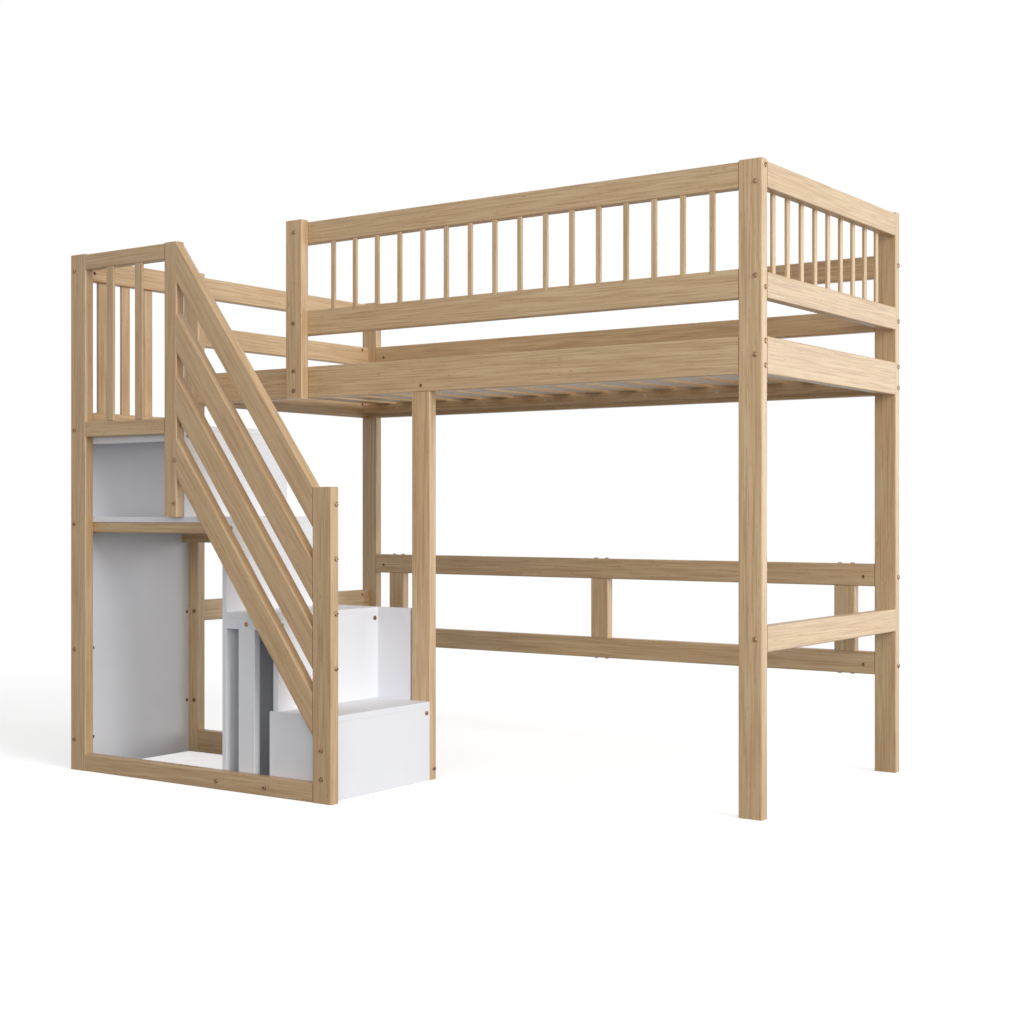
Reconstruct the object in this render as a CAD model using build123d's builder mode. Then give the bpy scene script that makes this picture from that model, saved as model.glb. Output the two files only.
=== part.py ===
from build123d import *
from dataclasses import dataclass
from math import hypot
import os

# A loft bed with a storage stair against its front left corner.
# X runs along the bed, Y from the front to the back, Z up from the floor.
# The origin is on the floor, at the middle of the whole footprint. Millimetres.

# Overall sizes
bed_length = 2000.0
bed_width = 895.0
stair_depth = 444.0
high_post_top = 1611.0
low_post_top = 1497.0

# Timber and board sections
timber = 30.0
post_width = 65.0
rail_height = 65.0
guard_middle_height = 73.0
beam_height = 93.0
landing_rail_height = 45.0
newel_width = 49.0
panel = 16.0
timber_ease = 4.0
top_ease = 2.0
panel_ease = 1.0

# Heights of the bed's horizontal timbers, each at its underside
beam_bottom = 1086.0
middle_bottom = 1272.0
end_brace_bottom = 406.0
back_brace_high_bottom = 534.0
back_brace_low_bottom = 279.0

# How far the top rails lie below the tops of their posts
guard_top_drop = 4.0
low_top_drop = 6.0

# Guard post
guard_post_left = 462.0
guard_post_overlap = 2.0

# Slatted base
slat_count = 15
slat_width = 70.0
slat_thickness = 18.0
ledger_rise = 15.0

# Spindles of the front guard and of the right end guard
front_spindle_count = 16
front_spindle_width = 15.0
end_spindle_count = 9
end_spindle_width = 18.0
spindle_thickness = 8.0
spindle_ease = 2.0
spindle_foot = 8.0
front_spindle_first = 159.5
front_spindle_last = 72.0

# Blocks between the two back braces
block_width = 65.0
block_inset = 125.0

# Stair levels and runs
first_rise = 220.0
tread_rise = 258.0
landing_rise = 256.0
landing_length = 441.0
upper_run = 163.0
middle_run = 189.0
lower_run = 187.0
newel_overhang = 26.5
newel_top = 814.0

# Stair timbers
cleat_height = 29.0
shelf_back_rail_height = 65.0
landing_low_rail_drop = 10.0
landing_front_top_drop = 2.0
bottom_rail_height = 50.0
back_bottom_rail_height = 69.0
stair_rail_width = 65.0
stair_rail_top_drop = 7.0
stair_rail_end_rise = 4.0
stair_rail_drops = (0.0, 193.0, 367.0, 538.5)
panel_inset = 8.0

# Balusters of the landing
front_baluster_count = 2
front_baluster_width = 30.0
front_baluster_thickness = 8.0
side_baluster_count = 4
side_baluster_width = 32.0
side_baluster_thickness = 10.0
tenon_length = 10.0

# First step, storage post and back panel
step_side_lap = 2.0
storage_post_offset = 45.0
storage_post_width = 60.0
storage_post_depth = 20.0
back_panel_gap = 6.0

# Fasteners
shank_radius = 3.0
bolt_head_radius = 6.5
bolt_head_height = 3.0
socket_radius = 2.6
socket_depth = 2.0
nut_radius = 5.0
nut_inner = 6.0
nut_outer = 10.0
nut_sink = 1.5
nut_setback = 34.0
shank_past_nut = 8.0
face_nut_setback = 15.0
side_bolt_depth = 20.0
end_bolt_inset = 19.0
blind_bolt_length = 24.0
newel_blind_length = 55.0
screw_radius = 2.0
screw_head_radius = 4.0
screw_head_height = 2.5
screw_hold = 10.0
timber_dowel_radius = 4.0
timber_dowel_half = 15.0
panel_dowel_radius = 3.0
panel_dowel_half = 10.0
bore_clearance = 0.2
fit_clearance = 0.2

# Datum planes
x_left = -bed_length / 2
x_right = bed_length / 2
y_stair = -(bed_width + stair_depth) / 2
y_bed = y_stair + stair_depth
y_back = y_bed + bed_width
y_inner = y_stair + timber

# Directions
to_right = (1, 0, 0)
to_left = (-1, 0, 0)
to_back = (0, 1, 0)
to_front = (0, -1, 0)
upward = (0, 0, 1)
downward = (0, 0, -1)

# Spans across the bed
x_post_left = (x_left, x_left + post_width)
x_post_right = (x_right - post_width, x_right)
x_end_left = (x_left, x_left + timber)
x_end_right = (x_right - timber, x_right)
x_between_posts = (x_post_left[1], x_post_right[0])
x_inside = (x_end_left[1], x_end_right[0])
y_front_timber = (y_bed, y_bed + timber)
y_back_timber = (y_back - timber, y_back)
y_inside = (y_front_timber[1], y_back_timber[0])
x_guard_post = (x_left + guard_post_left, x_left + guard_post_left + post_width)
x_guard = (x_guard_post[0], x_post_right[0])

# Spans along the stair
x_riser_top = (x_left + landing_length - panel, x_left + landing_length)
x_divider = (x_riser_top[1] + upper_run - panel, x_riser_top[1] + upper_run)
x_riser_low = (x_divider[1] + middle_run - panel, x_divider[1] + middle_run)
x_step_right = (x_riser_low[1] + lower_run - panel, x_riser_low[1] + lower_run)
x_step_left = (x_riser_low[0] - panel + step_side_lap, x_riser_low[0] + step_side_lap)
x_middle_leg = (x_step_right[1] - post_width, x_step_right[1])
x_newel = (x_riser_top[1] - newel_width, x_riser_top[1])
x_stair_end = (x_step_right[1] + newel_overhang - post_width, x_step_right[1] + newel_overhang)
x_side_panel = (x_left + panel_inset, x_left + panel_inset + panel)
x_storage_post = (x_divider[1] + storage_post_offset,
                  x_divider[1] + storage_post_offset + storage_post_width)
y_stair_timber = (y_stair, y_inner)
y_stair_inside = (y_inner, y_bed)
y_front_cleat = (y_inner, y_inner + timber)
y_back_cleat = (y_bed - timber, y_bed)

# Stair levels
z_step = (first_rise - panel, first_rise)
z_tread = (first_rise + tread_rise - panel, first_rise + tread_rise)
z_shelf = (z_tread[1] + tread_rise - panel, z_tread[1] + tread_rise)
z_landing = (z_shelf[1] + landing_rise - panel, z_shelf[1] + landing_rise)

# Heights of the timbers
guard_top_bottom = high_post_top - guard_top_drop - rail_height
low_top_bottom = low_post_top - low_top_drop - rail_height
landing_low_rail_bottom = z_landing[0] - landing_low_rail_drop
z_beam = (beam_bottom, beam_bottom + beam_height)
z_ledger = (beam_bottom + ledger_rise, beam_bottom + ledger_rise + timber)
z_slat = (z_ledger[1], z_ledger[1] + slat_thickness)
z_guard_top = (guard_top_bottom, guard_top_bottom + rail_height)
z_guard_middle = (middle_bottom, middle_bottom + guard_middle_height)
z_middle = (middle_bottom, middle_bottom + rail_height)
z_low_top = (low_top_bottom, low_top_bottom + rail_height)
z_end_brace = (end_brace_bottom, end_brace_bottom + rail_height)
z_brace_high = (back_brace_high_bottom, back_brace_high_bottom + rail_height)
z_brace_low = (back_brace_low_bottom, back_brace_low_bottom + rail_height)
z_front_top = (low_post_top - landing_front_top_drop - landing_rail_height,
               low_post_top - landing_front_top_drop)
z_front_low = (landing_low_rail_bottom, landing_low_rail_bottom + landing_rail_height)
z_side_low = (z_landing[0], z_landing[0] + rail_height)
z_bottom_rail = (0.0, bottom_rail_height)
z_back_bottom_rail = (0.0, back_bottom_rail_height)
z_shelf_front_rail = (z_shelf[0] - timber, z_shelf[0])
z_shelf_back_rail = (z_shelf[0] - shelf_back_rail_height, z_shelf[0])
z_tread_cleat = (z_tread[0] - cleat_height, z_tread[0])
z_step_cleat = (z_step[0] - cleat_height, z_step[0])
z_landing_cleat = (z_landing[0] - cleat_height, z_landing[0])

# Slope of the stair rails, from the top of the newel down to the end post
stair_rail_start = low_post_top - stair_rail_top_drop
stair_rail_end = newel_top + stair_rail_end_rise
stair_rail_span = x_stair_end[0] - x_newel[1]
stair_rail_slope = (stair_rail_start - stair_rail_end) / stair_rail_span
stair_rail_tall = stair_rail_width * hypot(1, stair_rail_slope)


def middle(span):
    """Middle of a (low, high) span."""
    return (span[0] + span[1]) / 2


def length(span):
    """Length of a (low, high) span."""
    return span[1] - span[0]


def stair_rail_centre(drop, x):
    """Height of a stair rail's middle at a place along the stair."""
    return stair_rail_start - stair_rail_tall / 2 - drop - stair_rail_slope * (x - x_newel[1])


@dataclass
class Fastener:
    """One bolt, screw, stud or dowel, and the pieces that its bore goes through."""
    kind: str
    seat: tuple
    run: tuple
    reach: float
    pieces: tuple
    nut_at: float = 0.0
    nut_way: tuple = ()
    nut_open: float = 0.0
    nut_end: float = nut_outer
    sunk: bool = False


fasteners = []


def bolt(seat, run, under, pieces, way, opening, setback=nut_setback, sunk=False):
    """A bolt through the first piece into a barrel nut in the last one."""
    nut_at = under + setback
    nut_end = min(nut_outer, opening - nut_sink)
    fasteners.append(Fastener("bolt", seat, run, nut_at + shank_past_nut, pieces,
                              nut_at, way, opening, nut_end, sunk))


def plain_bolt(seat, run, reach, pieces):
    """A bolt that is driven straight into the wood."""
    fasteners.append(Fastener("bolt", seat, run, reach, pieces))


def screw(seat, run, reach, pieces):
    """A countersunk wood screw, its head flush with the face."""
    fasteners.append(Fastener("screw", seat, run, reach, pieces))


def dowel(centre, run, pieces, kind="timber_dowel"):
    """A dowel across a joint, centred on the joint's plane."""
    half = timber_dowel_half if kind == "timber_dowel" else panel_dowel_half
    seat = tuple(c - half * r for c, r in zip(centre, run))
    fasteners.append(Fastener(kind, seat, run, 2 * half, pieces))


# Bolts along the bed, from the outer faces of the posts into the long rails
y_front_bolt = y_bed + side_bolt_depth
y_back_bolt = y_back - timber + side_bolt_depth
front_opening = timber - side_bolt_depth
guard_top_bolt = guard_top_bottom + 54.0
guard_middle_bolt = middle_bottom + 26.0
beam_low_bolt = beam_bottom + 21.0
beam_high_bolt = beam_bottom + 81.0
back_rail_bolt = low_top_bottom + 33.0
brace_high_bolt = back_brace_high_bottom + 27.0
brace_low_bolt = back_brace_low_bottom + 27.0
foot_bolt = 31.0

front_right_long_joints = (
    ("guard_rail_front_top", guard_top_bolt),
    ("guard_rail_front_middle", guard_middle_bolt),
    ("beam_front", beam_low_bolt),
    ("beam_front", beam_high_bolt),
)
front_left_long_joints = (
    ("beam_front", beam_low_bolt),
    ("beam_front", beam_high_bolt),
    ("stair_bottom_rail_back", foot_bolt),
)
back_long_joints = (
    ("back_rails", back_rail_bolt),
    ("back_rails", guard_middle_bolt),
    ("beam_back", beam_low_bolt),
    ("beam_back", beam_high_bolt),
    ("back_braces", brace_high_bolt),
    ("back_braces", brace_low_bolt),
)
for rail, z in front_right_long_joints:
    bolt((x_right, y_front_bolt, z), to_left, post_width, ("leg_front_right", rail),
         to_back, front_opening)
for rail, z in front_left_long_joints:
    bolt((x_left, y_front_bolt, z), to_right, post_width, ("leg_front_left", rail),
         to_back, front_opening)
for rail, z in back_long_joints:
    bolt((x_right, y_back_bolt, z), to_left, post_width, ("leg_back_right", rail),
         to_front, side_bolt_depth)
    bolt((x_left, y_back_bolt, z), to_right, post_width, ("leg_back_left", rail),
         to_front, side_bolt_depth)
bolt((x_middle_leg[1], y_front_bolt, foot_bolt), to_left, post_width,
     ("leg_front_middle", "stair_bottom_rail_back"), to_back, front_opening)

# Bolts across the bed, from the front and back faces of the posts into the end rails
x_right_bolt = x_right - end_bolt_inset
x_left_bolt = x_left + end_bolt_inset
end_opening = timber - end_bolt_inset
right_end_joints = (
    ("guard_rail_right_top", guard_top_bottom + 13.0),
    ("guard_rail_right_middle", middle_bottom + 54.0),
    ("beam_right", beam_bottom + 47.0),
    ("brace_right", end_brace_bottom + 33.0),
)
left_end_joints = (
    ("left_rails", low_top_bottom + 13.0, True),
    ("left_rails", middle_bottom + 54.0, False),
    ("beam_left", beam_bottom + 47.0, False),
    ("brace_left", end_brace_bottom + 49.0, True),
)
for rail, z in right_end_joints:
    bolt((x_right_bolt, y_bed, z), to_back, timber, ("leg_front_right", rail),
         to_left, end_opening)
    bolt((x_right_bolt, y_back, z), to_front, timber, ("leg_back_right", rail),
         to_left, end_opening)
for rail, z, covered in left_end_joints:
    bolt((x_left_bolt, y_bed, z), to_back, timber, ("leg_front_left", rail),
         to_right, end_opening, sunk=covered)
    bolt((x_left_bolt, y_back, z), to_front, timber, ("leg_back_left", rail),
         to_right, end_opening)

# Guard post on the face of the beam and of the two front guard rails
guard_post_joints = (
    ("guard_rail_front_top", guard_top_bottom + 33.0, downward, 33.0),
    ("guard_rail_front_middle", middle_bottom + 34.0, downward, 34.0),
    ("beam_front", beam_bottom + 79.0, upward, beam_height - 79.0),
    ("beam_front", beam_bottom + 21.0, downward, 21.0),
)
for rail, z, way, opening in guard_post_joints:
    bolt((middle(x_guard_post), y_bed - timber, z), to_back, timber,
         ("guard_post", rail), way, opening, setback=face_nut_setback)

# Stud from the middle leg up into the beam, its barrel nut flush with the beam's face
stud_depth = 40.0
beam_nut_rise = 18.0
fasteners.append(Fastener(
    "stud", (middle(x_middle_leg), middle(y_front_timber), beam_bottom - stud_depth), upward,
    stud_depth + beam_nut_rise + shank_past_nut, ("leg_front_middle", "beam_front"),
    stud_depth + beam_nut_rise, to_front, timber / 2, timber / 2))

# Back braces onto the ends of their blocks
block_bolt_offset = 20.0
block_bolt_hold = 40.0
x_blocks = tuple((x - block_width / 2, x + block_width / 2) for x in (
    x_left + block_inset + block_width / 2, 0.0, x_right - block_inset - block_width / 2))
for block in x_blocks:
    for offset in (-block_bolt_offset, block_bolt_offset):
        x = middle(block) + offset
        plain_bolt((x, middle(y_back_timber), z_brace_high[1]), downward,
                   rail_height + block_bolt_hold, ("back_braces", "back_brace_blocks"))
        plain_bolt((x, middle(y_back_timber), z_brace_low[0]), upward,
                   rail_height + block_bolt_hold, ("back_braces", "back_brace_blocks"))

# Front face of the stair: left post into the side rails and the side panel
y_stair_bolt = y_stair + side_bolt_depth
x_panel_bolt = middle(x_side_panel)
side_top_bolt = low_top_bottom + 24.0
side_low_bolt = z_side_low[0] + 12.0
panel_bolt_heights = (715.0, 350.0, 89.0)
rail_opening = x_end_left[1] - x_panel_bolt
bolt((x_panel_bolt, y_stair, side_top_bolt), to_back, timber,
     ("stair_post_left", "landing_rail_side_top"), to_right, rail_opening)
bolt((x_panel_bolt, y_stair, side_low_bolt), to_back, timber,
     ("stair_post_left", "landing_rail_side_low"), to_right, rail_opening)
for z in panel_bolt_heights:
    bolt((x_panel_bolt, y_stair, z), to_back, timber,
         ("stair_post_left", "side_panel_left"), to_right, panel / 2)
bolt((x_panel_bolt, y_front_timber[1], z_side_low[0] + 34.0), to_front, timber,
     ("leg_front_left", "landing_rail_side_low"), to_right, rail_opening)

# Left face of the stair: left post into the front rails
front_rail_joints = (
    ("landing_rail_front_top", z_front_top[0] + 27.0),
    ("landing_rail_front_low", z_front_low[0] + 36.0),
    ("stair_bottom_rail_front", 25.0),
)
for rail, z in front_rail_joints:
    bolt((x_left, y_stair_bolt, z), to_right, post_width, ("stair_post_left", rail),
         to_back, front_opening)

# Newel: into the top riser, the low landing rail and the four stair rails
newel_bolt_inset = 9.0
newel_riser_bolts = (z_shelf[1] + 37.0, z_landing[0] - 83.0)
stair_rail_bolt_drop = 26.0
for z in newel_riser_bolts:
    bolt((x_newel[1] - newel_bolt_inset, y_stair, z), to_back, timber,
         ("stair_post_middle", "riser_top"), to_left, panel - newel_bolt_inset)
bolt((x_newel[1], y_stair_bolt, z_front_low[0] + 22.0), to_left, newel_width,
     ("stair_post_middle", "landing_rail_front_low"), to_back, front_opening)
stair_rail_names = tuple(f"stair_rail_{number}" for number in (1, 2, 3, 4))
for name, drop in zip(stair_rail_names, stair_rail_drops):
    z = stair_rail_centre(drop, x_newel[1]) - stair_rail_bolt_drop
    bolt((x_newel[0], y_stair_bolt, z), to_right, newel_width,
         ("stair_post_middle", name), to_back, front_opening, setback=stair_rail_bolt_drop)

# End post of the stair: side heads at an even pitch, of which the top one meets a rail
end_post_first_bolt = newel_top - 45.0
end_post_bolt_pitch = 140.7
end_post_side_bolts = tuple(end_post_first_bolt - end_post_bolt_pitch * i for i in range(4))
end_post_front_bolts = (z_step[0] - 68.0, 62.0)
bolt((x_stair_end[1], y_stair_bolt, end_post_side_bolts[0]), to_left, post_width,
     ("stair_post_right", "stair_rail_1"), to_back, front_opening, setback=stair_rail_bolt_drop)
for z in end_post_side_bolts[1:]:
    plain_bolt((x_stair_end[1], y_stair_bolt, z), to_left, newel_blind_length,
               ("stair_post_right",))
for z in end_post_front_bolts:
    bolt((middle(x_step_right), y_stair, z), to_back, timber,
         ("stair_post_right", "step_1_sides"), to_left, panel / 2)

# Front bottom rail into the divider and the left side of the first step
bottom_rail_bolt = 22.0
bolt_offset = 2.0
bolt((middle(x_divider) - bolt_offset, y_stair, bottom_rail_bolt), to_back, timber,
     ("stair_bottom_rail_front", "divider_panel"), to_left, panel / 2 - bolt_offset)
bolt((middle(x_step_left) + bolt_offset, y_stair, bottom_rail_bolt), to_back, timber,
     ("stair_bottom_rail_front", "step_1_sides"), to_right, panel / 2 - bolt_offset)

# Two heads on the front left leg, and the studs that hold the side panel to that leg
leg_head_inset = 48.0
leg_head_heights = (439.0, 162.0)
panel_stud_heights = (437.0, 161.0)
stud_in_leg = 18.0
stud_in_panel = 8.0
for z in leg_head_heights:
    plain_bolt((x_left + leg_head_inset, y_bed, z), to_back, blind_bolt_length,
               ("leg_front_left",))
for z in panel_stud_heights:
    fasteners.append(Fastener(
        "stud", (x_panel_bolt, y_bed + stud_in_leg, z), to_front,
        stud_in_leg + stud_in_panel + nut_inner, ("leg_front_left", "side_panel_left"),
        stud_in_leg + stud_in_panel, to_right, panel / 2, panel / 2))

# Panels into the ends of the cleats and rails that carry the levels
y_cleats = (middle(y_front_cleat), middle(y_back_cleat))
shelf_bolt = z_shelf_front_rail[0] + timber / 2
shelf_back_bolt = z_shelf_back_rail[0] + shelf_back_rail_height / 2
tread_bolt = z_tread_cleat[0] + cleat_height / 2
step_bolt = z_step_cleat[0] + cleat_height / 2
landing_bolt = z_landing_cleat[0] + cleat_height / 2
panel_joints = (
    (x_side_panel[0], y_cleats[0], shelf_bolt, to_right, "side_panel_left", "shelf_rail_front"),
    (x_side_panel[0], y_cleats[1], shelf_back_bolt, to_right, "side_panel_left", "shelf_rail_back"),
    (x_side_panel[0], y_cleats[0], landing_bolt, to_right, "side_panel_left", "landing_cleats"),
    (x_side_panel[0], y_cleats[1], landing_bolt, to_right, "side_panel_left", "landing_cleats"),
    (x_riser_top[1], y_cleats[0], landing_bolt, to_left, "riser_top", "landing_cleats"),
    (x_riser_top[1], y_cleats[1], landing_bolt, to_left, "riser_top", "landing_cleats"),
    (x_divider[1], y_cleats[0], shelf_bolt, to_left, "divider_panel", "shelf_rail_front"),
    (x_divider[1], y_cleats[1], shelf_back_bolt, to_left, "divider_panel", "shelf_rail_back"),
    (x_divider[0], y_cleats[0], tread_bolt, to_right, "divider_panel", "tread_cleat_front"),
    (x_divider[0], y_cleats[1], tread_bolt, to_right, "divider_panel", "back_cleats"),
    (x_riser_low[1], y_cleats[0], tread_bolt, to_left, "riser_low", "tread_cleat_front"),
    (x_riser_low[1], y_cleats[1], tread_bolt, to_left, "riser_low", "back_cleats"),
    (x_step_left[0], y_cleats[1], step_bolt, to_right, "step_1_sides", "back_cleats"),
    (x_step_right[1], y_cleats[1], step_bolt, to_left, "step_1_sides", "back_cleats"),
)
for x, y, z, run, outer, inner in panel_joints:
    drop = shelf_back_rail_height / 2 if inner == "shelf_rail_back" else cleat_height / 2
    bolt((x, y, z), run, panel, (outer, inner), downward, drop)

# Storage post onto the face of the front tread cleat
storage_bolt_hold = 8.0
plain_bolt((middle(x_storage_post), y_inner, tread_bolt), to_back,
           storage_post_depth + storage_bolt_hold, ("storage_post", "tread_cleat_front"))

# Screws up through the cleats into the boards, set off from the cleats' bolts
screw_offset = 9.0
landing_screw_inset = 95.0
shelf_screw_inset = 130.0
tread_screw_insets = (18.0, 54.0)
step_screw_inset = 62.0
y_screws = (y_cleats[0] + screw_offset, y_cleats[1] - screw_offset)
for x in (x_side_panel[1] + landing_screw_inset, x_riser_top[0] - landing_screw_inset):
    for y in y_screws:
        screw((x, y, z_landing_cleat[0]), upward, cleat_height + screw_hold,
              ("landing_cleats", "landing_board"))
for x in (x_side_panel[1] + shelf_screw_inset, x_divider[0] - shelf_screw_inset):
    screw((x, y_screws[0], z_shelf_front_rail[0]), upward, timber + screw_hold,
          ("shelf_rail_front", "shelf_board"))
    screw((x, y_screws[1], z_shelf_back_rail[0]), upward, shelf_back_rail_height + screw_hold,
          ("shelf_rail_back", "shelf_board"))
for x in (x_divider[1] + tread_screw_insets[0], x_riser_low[0] - tread_screw_insets[1]):
    screw((x, y_screws[0], z_tread_cleat[0]), upward, cleat_height + screw_hold,
          ("tread_cleat_front", "tread_2"))
    screw((x, y_screws[1], z_tread_cleat[0]), upward, cleat_height + screw_hold,
          ("back_cleats", "tread_2"))
for x in (x_step_left[1] + step_screw_inset, x_step_right[0] - step_screw_inset):
    screw((x, y_screws[1], z_step_cleat[0]), upward, cleat_height + screw_hold,
          ("back_cleats", "step_1_top"))

# Screws through the back panel
panel_screws = (
    (middle(x_divider), z_back_bottom_rail[1] + 81.0, "divider_panel"),
    (middle(x_divider), z_tread[1] - 58.0, "divider_panel"),
    (middle(x_step_left), z_back_bottom_rail[1] + 51.0, "step_1_sides"),
    (middle(x_riser_low), middle((z_step[1], z_tread[0])), "riser_low"),
    (middle(x_storage_post), tread_bolt, "back_cleats"),
    (x_middle_leg[0] - 44.0, step_bolt, "back_cleats"),
)
back_panel_screw_hold = 20.0
for x, z, piece in panel_screws:
    screw((x, y_bed + panel, z), to_front, panel + back_panel_screw_hold, ("back_panel", piece))

# Slats and ledgers
slat_gap = (length(x_inside) - slat_count * slat_width) / (slat_count + 1)
slat_pitch = slat_width + slat_gap
slat_centres = tuple(x_inside[0] + slat_gap + slat_width / 2 + slat_pitch * i
                     for i in range(slat_count))
slat_screw_hold = 16.0
ledger_screw_hold = 18.0
ledger_screw_gaps = (1, 4, 6, 9, 11, 14)
y_ledger_front = (y_inside[0], y_inside[0] + timber)
y_ledger_back = (y_inside[1] - timber, y_inside[1])
for x in slat_centres:
    for ledger in (y_ledger_front, y_ledger_back):
        screw((x, middle(ledger), z_slat[1]), downward, slat_thickness + slat_screw_hold,
              ("slats", "ledgers"))
for gap in ledger_screw_gaps:
    x = x_inside[0] + slat_gap / 2 + slat_pitch * gap
    screw((x, y_ledger_front[1], middle(z_ledger)), to_front, timber + ledger_screw_hold,
          ("ledgers", "beam_front"))
    screw((x, y_ledger_back[0], middle(z_ledger)), to_back, timber + ledger_screw_hold,
          ("ledgers", "beam_back"))

# Dowels beside the single bolts of the long rails
y_front_dowel = middle(y_front_timber)
y_back_dowel = middle(y_back_timber)
long_dowels = (
    (x_post_right[0], y_front_dowel, guard_top_bottom + 20.0, "leg_front_right", "guard_rail_front_top"),
    (x_post_right[0], y_front_dowel, middle_bottom + 56.0, "leg_front_right", "guard_rail_front_middle"),
    (x_post_left[1], y_front_dowel, 52.0, "leg_front_left", "stair_bottom_rail_back"),
    (x_middle_leg[0], y_front_dowel, 52.0, "leg_front_middle", "stair_bottom_rail_back"),
)
for x, y, z, post, rail in long_dowels:
    dowel((x, y, z), to_right, (post, rail))
back_dowels = (
    (low_top_bottom + 52.0, "back_rails"),
    (middle_bottom + 50.0, "back_rails"),
    (back_brace_high_bottom + 50.0, "back_braces"),
    (back_brace_low_bottom + 50.0, "back_braces"),
)
for z, rail in back_dowels:
    dowel((x_post_right[0], y_back_dowel, z), to_right, ("leg_back_right", rail))
    dowel((x_post_left[1], y_back_dowel, z), to_right, ("leg_back_left", rail))

# Dowels of the end rails
right_dowels = (
    (guard_top_bottom + 45.0, "guard_rail_right_top"),
    (middle_bottom + 14.0, "guard_rail_right_middle"),
    (beam_bottom + 66.0, "beam_right"),
    (end_brace_bottom + 12.0, "brace_right"),
)
left_dowels = (
    (low_top_bottom + 45.0, "left_rails"),
    (middle_bottom + 14.0, "left_rails"),
    (beam_bottom + 66.0, "beam_left"),
    (end_brace_bottom + 18.0, "brace_left"),
)
for z, rail in right_dowels:
    dowel((middle(x_end_right), y_inside[0], z), to_back, ("leg_front_right", rail))
    dowel((middle(x_end_right), y_inside[1], z), to_back, ("leg_back_right", rail))
for z, rail in left_dowels:
    dowel((middle(x_end_left), y_inside[0], z), to_back, ("leg_front_left", rail))
    dowel((middle(x_end_left), y_inside[1], z), to_back, ("leg_back_left", rail))
middle_leg_dowel_inset = 12.0
for x in (x_middle_leg[0] + middle_leg_dowel_inset, x_middle_leg[1] - middle_leg_dowel_inset):
    dowel((x, y_front_dowel, beam_bottom), upward, ("leg_front_middle", "beam_front"))

# Dowels of the stair's front rails
y_stair_dowel = middle(y_stair_timber)
stair_dowels = (
    (x_post_left[1], z_front_top[0] + 10.0, "stair_post_left", "landing_rail_front_top"),
    (x_newel[0], z_front_top[0] + 11.0, "stair_post_middle", "landing_rail_front_top"),
    (x_newel[0], z_front_top[0] + 34.0, "stair_post_middle", "landing_rail_front_top"),
    (x_post_left[1], z_front_low[0] + 12.0, "stair_post_left", "landing_rail_front_low"),
    (x_newel[0], z_front_low[0] + 37.0, "stair_post_middle", "landing_rail_front_low"),
    (x_post_left[1], 40.0, "stair_post_left", "stair_bottom_rail_front"),
    (x_stair_end[0], 14.0, "stair_post_right", "stair_bottom_rail_front"),
    (x_stair_end[0], 38.0, "stair_post_right", "stair_bottom_rail_front"),
)
for x, z, post, rail in stair_dowels:
    dowel((x, y_stair_dowel, z), to_right, (post, rail))

# Dowels of the four stair rails
newel_dowel_rise = 20.0
end_dowel_rises = ((-22.0,), (-20.0, 28.0), (-20.0, 28.0), (-20.0, 28.0))
for name, drop, rises in zip(stair_rail_names, stair_rail_drops, end_dowel_rises):
    newel_centre = stair_rail_centre(drop, x_newel[1])
    end_centre = stair_rail_centre(drop, x_stair_end[0])
    dowel((x_newel[1], y_stair_dowel, newel_centre + newel_dowel_rise), to_right,
          ("stair_post_middle", name))
    for rise in rises:
        dowel((x_stair_end[0], y_stair_dowel, end_centre + rise), to_right,
              ("stair_post_right", name))

# Dowels of the landing's side rails
x_side_dowel = middle(x_end_left)
side_dowels = (
    (y_inner, low_top_bottom + 10.0, "stair_post_left", "landing_rail_side_top"),
    (y_bed, low_top_bottom + 36.0, "leg_front_left", "landing_rail_side_top"),
    (y_bed, low_top_bottom + 56.0, "leg_front_left", "landing_rail_side_top"),
    (y_inner, z_side_low[0] + 48.0, "stair_post_left", "landing_rail_side_low"),
    (y_bed, z_side_low[0] + 52.0, "leg_front_left", "landing_rail_side_low"),
)
for y, z, post, rail in side_dowels:
    dowel((x_side_dowel, y, z), to_back, (post, rail))

# Dowels between the boards of the stair
board_dowel_inset = 112.0
y_board_dowels = (y_inner + board_dowel_inset, y_bed - board_dowel_inset)
board_dowels = (
    (middle(x_riser_top), z_shelf[1], "shelf_board", "riser_top"),
    (middle(x_riser_top), z_landing[0], "riser_top", "landing_board"),
    (middle(x_divider), z_shelf[0], "divider_panel", "shelf_board"),
    (middle(x_riser_low), z_step[1], "step_1_top", "riser_low"),
    (middle(x_riser_low), z_tread[0], "riser_low", "tread_2"),
    (middle(x_step_left), z_step[0], "step_1_sides", "step_1_top"),
    (middle(x_step_right), z_step[0], "step_1_sides", "step_1_top"),
)
for x, z, lower, upper in board_dowels:
    for y in y_board_dowels:
        dowel((x, y, z), upward, (lower, upper), "panel_dowel")
step_front_dowels = (z_step[0] - 104.0, z_step[0] - 24.0)
for x in (x_step_left[1], x_step_right[0]):
    for z in step_front_dowels:
        dowel((x, y_inner + panel / 2, z), to_right, ("step_1_front", "step_1_sides"), "panel_dowel")


def bar(x, y, z, along, ease=timber_ease):
    """Adds a straight bar to the open part, with its long edges rounded."""
    if along == "X":
        plane = Plane(origin=(x[0], middle(y), middle(z)), x_dir=to_back, z_dir=to_right)
        across, deep, long = length(y), length(z), length(x)
    elif along == "Y":
        plane = Plane(origin=(middle(x), y[0], middle(z)), x_dir=to_right, z_dir=to_back)
        across, deep, long = length(x), length(z), length(y)
    else:
        plane = Plane(origin=(middle(x), middle(y), z[0]), x_dir=to_right, z_dir=upward)
        across, deep, long = length(x), length(y), length(z)
    with BuildSketch(plane) as section:
        RectangleRounded(across, deep, ease)
    extrude(section.sketch, amount=long)


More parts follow.
